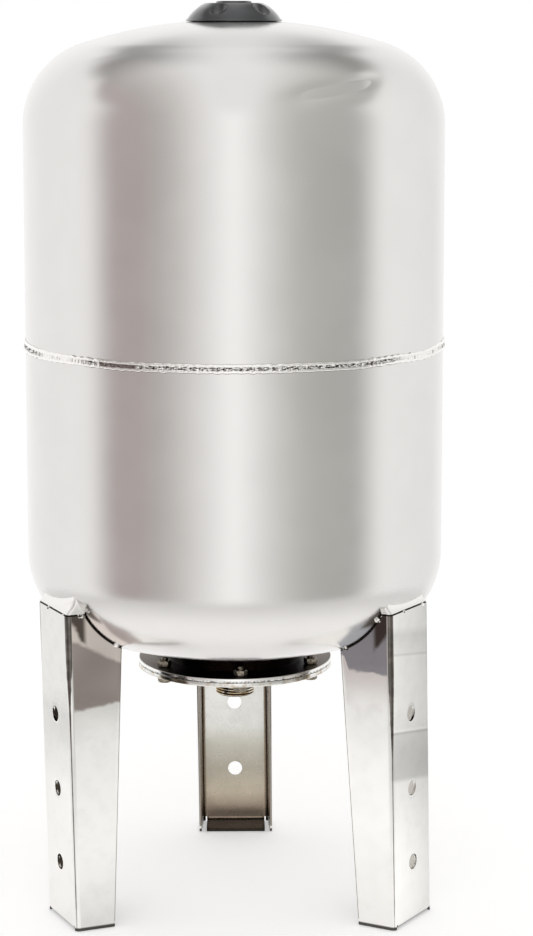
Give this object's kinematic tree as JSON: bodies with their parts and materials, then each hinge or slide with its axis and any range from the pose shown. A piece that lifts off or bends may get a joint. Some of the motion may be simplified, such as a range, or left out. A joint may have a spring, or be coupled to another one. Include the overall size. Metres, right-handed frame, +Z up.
{
  "type": "well pressure tank",
  "caption": "Upright stainless pressure tank on folded sheet legs, with a bolted water flange and threaded nipple underneath and an air valve under a screw cap on top.",
  "frame": {"origin": "on the floor, on the tank's axis, midway between the outermost sides", "axes": "+Z up along the tank's axis, -Y towards the picture's camera, +X to its right"},
  "size_m": [0.3536, 0.3536, 0.7556],
  "materials": {
    "shell_steel": "satin stainless sheet with bright highlights",
    "leg_steel": "bright stainless sheet",
    "zinc_steel": "zinc plated steel",
    "brass": "turned brass",
    "rubber": "black rubber",
    "plastic": "dark grey moulded plastic"
  },
  "bodies": {
    "tank": {"upper_shell": "shell_steel", "lower_shell": "shell_steel", "girth_weld": "shell_steel", "neck_ring": "zinc_steel", "counter_flange": "leg_steel", "water_nipple": "leg_steel", "water_bag": "rubber", "bolt_1": "zinc_steel", "bolt_2": "zinc_steel", "bolt_3": "zinc_steel", "bolt_4": "zinc_steel", "bolt_5": "zinc_steel", "bolt_6": "zinc_steel", "nut_1": "zinc_steel", "nut_2": "zinc_steel", "nut_3": "zinc_steel", "nut_4": "zinc_steel", "nut_5": "zinc_steel", "nut_6": "zinc_steel", "washer_1": "zinc_steel", "washer_2": "zinc_steel", "washer_3": "zinc_steel", "washer_4": "zinc_steel", "washer_5": "zinc_steel", "washer_6": "zinc_steel", "leg_front_left": "leg_steel", "leg_front_right": "leg_steel", "leg_back": "leg_steel", "valve_boss": "shell_steel", "air_valve": "brass", "valve_core": "brass", "valve_spring": "zinc_steel"},
    "valve_cap": {"valve_cap": "plastic"},
    "valve_pin": {"valve_pin": "brass"}
  },
  "joints": [
    {"name": "cap_lift", "type": "slide", "parent": "tank", "child": "valve_cap", "axis": [0, 0, 1], "range_m": [0, 0.06]},
    {"name": "valve_pin_press", "type": "slide", "parent": "tank", "child": "valve_pin", "axis": [0, 0, -1], "range_m": [0, 0.0015], "stiffness_N_per_m": 400, "springref_m": -0.002, "deforming": ["valve_spring"]}
  ]
}
